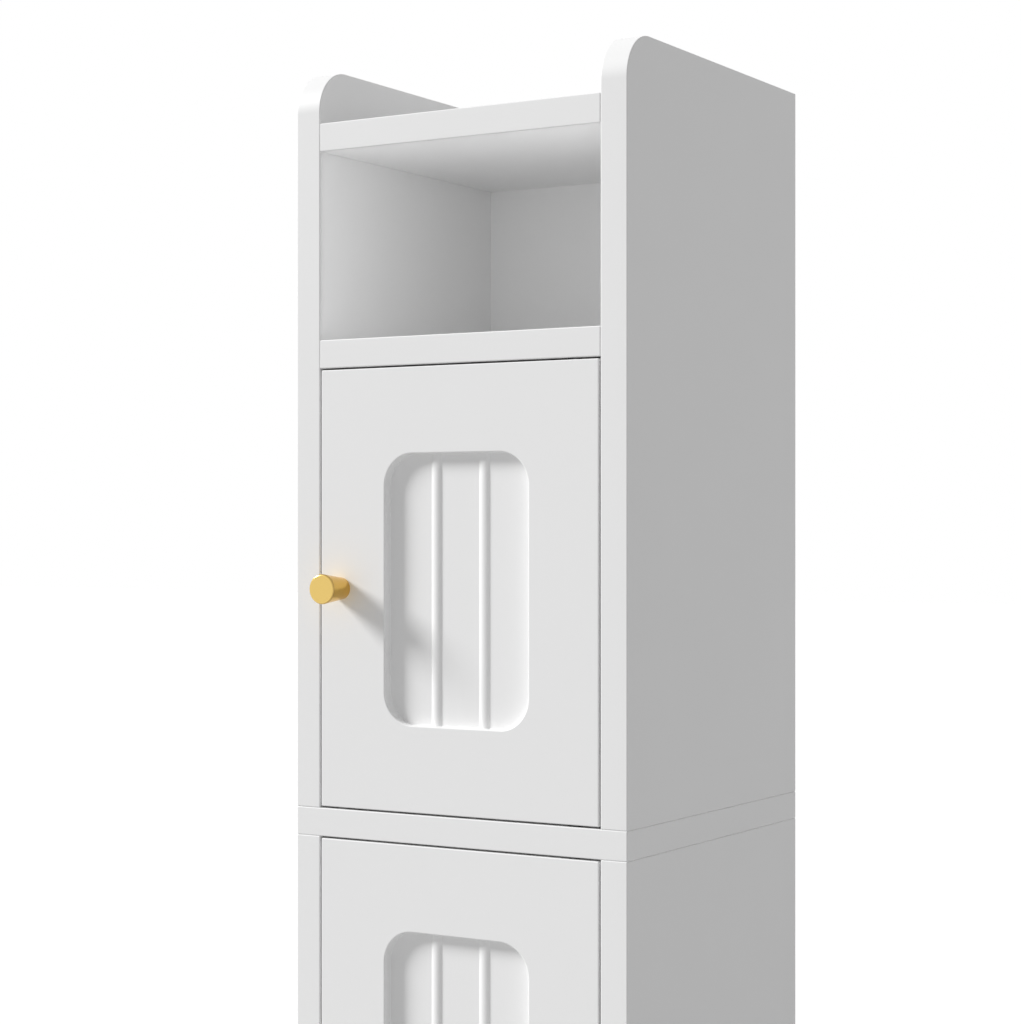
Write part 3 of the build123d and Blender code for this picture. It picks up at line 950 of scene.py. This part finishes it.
@dataclass
class Knob:
    """A turned knob, a short cone that is wider at its face.

    Attributes:
        node: The CAD node that it stands for.
        part: The body that it rides on.
        base_radius: Radius where it meets the door.
        face_radius: Radius at its face.
        edge: Rounding of the face's edge.
        edge_segments: Faces across that rounding.
        sides: Faces round it.
    """

    node: str
    part: Part
    base_radius: float = 5.8 * MM
    face_radius: float = 8.0 * MM
    edge: float = 1.2 * MM
    edge_segments: int = 8
    sides: int = 96

    def build(self) -> bpy.types.Object:
        """Builds the knob and puts it in place of its node.

        Returns:
            The finished knob.
        """
        low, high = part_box(self.node)
        middle = (low + high) / 2
        deselect_all()
        bpy.ops.mesh.primitive_cone_add(
            vertices=self.sides,
            radius1=self.base_radius,
            radius2=self.face_radius,
            depth=high.y - low.y,
            location=middle,
            rotation=(math.radians(90.0), 0.0, 0.0),
        )
        knob = bpy.context.object
        knob.name = f"{self.node}_turned"
        settle(knob)

        def face_edge(a: Vector, b: Vector) -> bool:
            return all(abs(p.y - low.y) < NEAR for p in (a, b))

        round_edges(knob, face_edge, self.edge, self.edge_segments)
        clean_and_smooth(knob)
        finish = satin_gold(middle, low.y, self.edge)
        hand_over(knob, self.node, self.part, finish.material())
        return knob


# The cabinet


@dataclass
class Doors:
    """Both doors with their knobs.

    Attributes:
        panels: The body of each door, by the door's name.
    """

    panels: dict[str, Part] = field(
        default_factory=lambda: {"upper": Part.UPPER_DOOR, "lower": Part.LOWER_DOOR}
    )

    def build(self, paint: bpy.types.Material) -> None:
        """Builds both doors.

        Args:
            paint: Material of the door panels.
        """
        for name, part in self.panels.items():
            DoorPanel(f"{name}_door_panel", part).build(paint)
            Knob(f"{name}_knob", part).build()


@dataclass
class Carcass:
    """The boards that stand still.

    Attributes:
        seat_radius: Radius of the hole that holds a cam.
        seat_depth: Its depth.
        seat_from_joint: From the end of a board to the middle of its cams.
        pin_hole_radius: Radius of a shelf pin's hole.
        pin_hole_depth: Its depth.
        pin_pitch: Height from one row of pin holes to the next.
        pin_rows: Number of rows.
        first_pin_z: Height of the lowest row.
        pin_columns: Y of the two columns of pin holes.
        front_cam_y: Y of the front cams.
        back_cam_y: Y of the back cams.
        lower_shift: How far back the lower sides' cams are moved.
    """

    seat_radius: float = 7.55 * MM
    seat_depth: float = 12.5 * MM
    seat_from_joint: float = 24.0 * MM
    pin_hole_radius: float = 2.55 * MM
    pin_hole_depth: float = 8.5 * MM
    pin_pitch: float = 32.0 * MM
    pin_rows: int = 5
    first_pin_z: float = 160.0 * MM
    pin_columns: tuple[float, float] = (-29.0 * MM, 50.0 * MM)
    front_cam_y: float = -46.0 * MM
    back_cam_y: float = 49.0 * MM
    lower_shift: float = 16.0 * MM

    def build(self, paint: bpy.types.Material) -> None:
        """Builds the sides and the lying boards.

        Args:
            paint: Material of the boards.
        """
        for side in Side:
            self.upper_side(side).build(paint)
            self.lower_side(side).build(paint)
        for node in ("top_shelf", "middle_board", "kick_board", "lower_shelf"):
            Board(node).build(paint)
        for node in ("divider_shelf", "bottom_board"):
            Board(node, holes=self.underside_seats(node)).build(paint)

    @staticmethod
    def inner_face(node: str, side: Side) -> float:
        """Finds X of a side board's inner face.

        Args:
            node: The side's CAD node.
            side: Which side it is.

        Returns:
            The place of the face that looks into the cabinet.
        """
        low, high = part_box(node)
        return low.x if side is Side.RIGHT else high.x

    @staticmethod
    def inward(side: Side) -> Facing:
        """Finds the way a side board's inner face looks.

        Args:
            side: Which side it is.

        Returns:
            The way towards the middle of the cabinet.
        """
        return Facing((-side.value, 0, 0))

    def seat(self, mouth: Vector, facing: Facing) -> Hole:
        """Describes the hole that holds a cam.

        Args:
            mouth: The middle of its mouth.
            facing: The way its mouth looks.

        Returns:
            The hole.
        """
        return Hole(mouth, facing, self.seat_radius, self.seat_depth)

    def upper_side(self, side: Side) -> WingedSide:
        """An upper side, with the seats of its cams.

        Args:
            side: Which side it is.

        Returns:
            The side board, not yet built.
        """
        node = f"upper_{side.name.lower()}_side"
        low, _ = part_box(node)
        x = self.inner_face(node, side)
        z = low.z + self.seat_from_joint
        rows = (self.front_cam_y, self.back_cam_y)
        seats = [self.seat(Vector((x, y, z)), self.inward(side)) for y in rows]
        return WingedSide(node, holes=seats)

    def lower_side(self, side: Side) -> Board:
        """A lower side, with the seats of its cams and its shelf pin holes.

        Args:
            side: Which side it is.

        Returns:
            The side board, not yet built.
        """
        node = f"lower_{side.name.lower()}_side"
        _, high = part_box(node)
        x = self.inner_face(node, side)
        z = high.z - self.seat_from_joint
        rows = (self.front_cam_y + self.lower_shift, self.back_cam_y + self.lower_shift)
        holes = [self.seat(Vector((x, y, z)), self.inward(side)) for y in rows]
        for row in range(self.pin_rows):
            for y in self.pin_columns:
                mouth = Vector((x, y, self.first_pin_z + row * self.pin_pitch))
                holes.append(
                    Hole(mouth, self.inward(side), self.pin_hole_radius, self.pin_hole_depth)
                )
        return Board(node, holes=holes)

    def underside_seats(self, node: str) -> list[Hole]:
        """Seats of the cams in the underside of a lying board.

        Args:
            node: The board's CAD node.

        Returns:
            Four seats, two near each end.
        """
        low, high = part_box(node)
        columns = (low.x + self.seat_from_joint, high.x - self.seat_from_joint)
        rows = (self.front_cam_y, self.back_cam_y)
        return [self.seat(Vector((x, y, low.z)), Facing.DOWN) for x in columns for y in rows]


@dataclass
class Hardware:
    """Fittings that keep their CAD shape.

    Attributes:
        finishes: The finish of each of the record's slots.
    """

    finishes: tuple[Finish, ...] = (
        BACK_BOARD,
        ZINC_PLATE,
        ZINC_ALLOY,
        NYLON,
        WHITE_PLASTIC,
        GREY_PLASTIC,
        FERRITE,
        BEECH,
    )

    def dress_all(self, replaced: set[str]) -> None:
        """Gives each node that still shows the finish of its slot.

        Args:
            replaced: Slots whose nodes are all modelled in this file.
        """
        by_slot = {finish.slot: finish.material() for finish in self.finishes}
        for entry in frame["record"]["subparts"]:
            slot = entry["material_slot"]
            if slot in replaced:
                continue
            dress(frame["nodes"][entry["node"]], by_slot[slot])
            log.info("%s: CAD shape in %s", entry["node"], slot)


# Studio


@dataclass
class Studio:
    """Floor, daylight, lamps and camera.

    Attributes:
        daylight: Strength of the even light from all round.
        key_energy: Strength of the key light.
        key_angle: How wide the key light looks, in degrees.
        key_direction: The way its light travels.
        bay_energy: Strength of the small soft light at the mouth of the open bay.
        bay_margin: From that light's edges to the boards round the bay.
        floor_size: Side of the floor.
        floor_tone: Tone of the floor where light bounces off it.
        floor_shown_tone: Tone of the floor where it is seen.
        floor_lift: Strength of the light that makes the seen floor white.
        lens: Focal length in millimetres.
        shift_y: Upward shift of the picture.
        camera_place: Where the camera stands.
        camera_yaw: How far the camera looks to the left of straight ahead, in degrees.
    """

    daylight: float = 0.378
    key_energy: float = 3.3
    key_angle: float = 17.2
    key_direction: tuple[float, float, float] = (2.3, 1.0, -1.46)
    bay_energy: float = 0.021
    bay_margin: float = 2.0 * MM
    floor_size: float = 30.0
    floor_tone: float = 0.55
    floor_shown_tone: float = 0.9
    floor_lift: float = 0.25
    lens: float = 80.496
    shift_y: float = 0.015977
    camera_place: tuple[float, float, float] = (0.6311, -1.0777, 0.5552)
    camera_yaw: float = 31.211

    def build(self) -> None:
        """Sets up the whole studio."""
        scene = bpy.context.scene
        scene.view_settings.view_transform = "Standard"
        self.light_all_round(scene)
        self.add_key()
        self.add_bay_light()
        self.lay_floor()
        self.place_camera(scene)

    def light_all_round(self, scene: bpy.types.Scene) -> None:
        """Fills the world with even light that shows as plain white.

        Args:
            scene: The scene.
        """
        scene.world = bpy.data.worlds.new("daylight")
        scene.world.use_nodes = True
        nodes = Nodes(scene.world.node_tree)
        light = nodes.add("ShaderNodeBackground", Color=(1, 1, 1, 1), Strength=self.daylight)
        shown = nodes.add("ShaderNodeBackground", Color=(1, 1, 1, 1), Strength=1.0)
        chooser = nodes.add("ShaderNodeMixShader")
        output = nodes.add("ShaderNodeOutputWorld")
        seen = self.seen_directly(nodes)
        nodes.link(seen, "Value", chooser, 0)
        nodes.link(light, "Background", chooser, 1)
        nodes.link(shown, "Background", chooser, 2)
        nodes.link(chooser, "Shader", output, "Surface")

    @staticmethod
    def seen_directly(nodes: Nodes) -> bpy.types.Node:
        """Adds a node that is 1 for rays from the camera, off a mirror or through glass.

        Args:
            nodes: The tree.

        Returns:
            The node, whose output is Value.
        """
        rays = nodes.add("ShaderNodeLightPath")
        plain = nodes.add("ShaderNodeMath", operation="MAXIMUM")
        either = nodes.add("ShaderNodeMath", operation="MAXIMUM")
        nodes.link(rays, "Is Camera Ray", plain, 0)
        nodes.link(rays, "Is Glossy Ray", plain, 1)
        nodes.link(plain, "Value", either, 0)
        nodes.link(rays, "Is Transmission Ray", either, 1)
        return either

    def add_key(self) -> None:
        """Adds the key light, high on the left."""
        lamp = bpy.data.lights.new("key", "SUN")
        lamp.energy = self.key_energy
        lamp.angle = math.radians(self.key_angle)
        key = bpy.data.objects.new("key", lamp)
        bpy.context.scene.collection.objects.link(key)
        key.rotation_euler = Vector(self.key_direction).to_track_quat("-Z", "Y").to_euler()

    def add_bay_light(self) -> None:
        """Adds a soft light that fills the mouth of the open bay and looks into it."""
        floor_low, floor_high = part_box("divider_shelf")
        ceiling_low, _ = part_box("top_shelf")
        wide = floor_high.x - floor_low.x - 2 * self.bay_margin
        tall = ceiling_low.z - floor_high.z - 2 * self.bay_margin
        lamp = bpy.data.lights.new("bay_light", "AREA")
        lamp.energy = self.bay_energy
        lamp.shape = "RECTANGLE"
        lamp.size = wide
        lamp.size_y = tall
        light = bpy.data.objects.new("bay_light", lamp)
        bpy.context.scene.collection.objects.link(light)
        light.location = (0.0, floor_low.y, (floor_high.z + ceiling_low.z) / 2)
        light.rotation_euler = Vector((0.0, 1.0, 0.0)).to_track_quat("-Z", "Y").to_euler()
        light.visible_camera = False

    def lay_floor(self) -> None:
        """Lays a pale floor that keeps the cabinet's shadow."""
        deselect_all()
        bpy.ops.mesh.primitive_plane_add(size=self.floor_size, location=(0.0, 0.0, 0.0))
        floor = bpy.context.object
        floor.name = "floor"
        settle(floor)
        pale = bpy.data.materials.new("pale_floor")
        pale.use_nodes = True
        nodes = Nodes(pale.node_tree)
        bounced = nodes.add("ShaderNodeBsdfDiffuse", Color=(*[self.floor_tone] * 3, 1))
        shown = nodes.add("ShaderNodeBsdfDiffuse", Color=(*[self.floor_shown_tone] * 3, 1))
        lift = nodes.add("ShaderNodeEmission", Color=(1, 1, 1, 1), Strength=self.floor_lift)
        white = nodes.add("ShaderNodeAddShader")
        chooser = nodes.add("ShaderNodeMixShader")
        output = nodes.add("ShaderNodeOutputMaterial")
        seen = self.seen_directly(nodes)
        nodes.link(shown, "BSDF", white, 0)
        nodes.link(lift, "Emission", white, 1)
        nodes.link(seen, "Value", chooser, 0)
        nodes.link(bounced, "BSDF", chooser, 1)
        nodes.link(white, "Shader", chooser, 2)
        nodes.link(chooser, "Shader", output, "Surface")
        dress(floor, pale)

    def place_camera(self, scene: bpy.types.Scene) -> None:
        """Stands the camera where the photograph was taken from.

        Args:
            scene: The scene.
        """
        lens = bpy.data.cameras.new("camera")
        lens.lens = self.lens
        lens.shift_y = self.shift_y
        camera = bpy.data.objects.new("camera", lens)
        scene.collection.objects.link(camera)
        camera.location = self.camera_place
        camera.rotation_euler = (math.radians(90.0), 0.0, math.radians(self.camera_yaw))
        scene.camera = camera


def main() -> None:
    """Builds the cabinet and its studio."""
    logging.basicConfig(level=logging.INFO, format="%(message)s")
    paint = PAINTED_BOARD.material()
    Carcass().build(paint)
    Doors().build(paint)
    Hardware().dress_all(replaced={"painted_board", "satin_gold"})
    Studio().build()


if __name__ == "__main__":
    main()
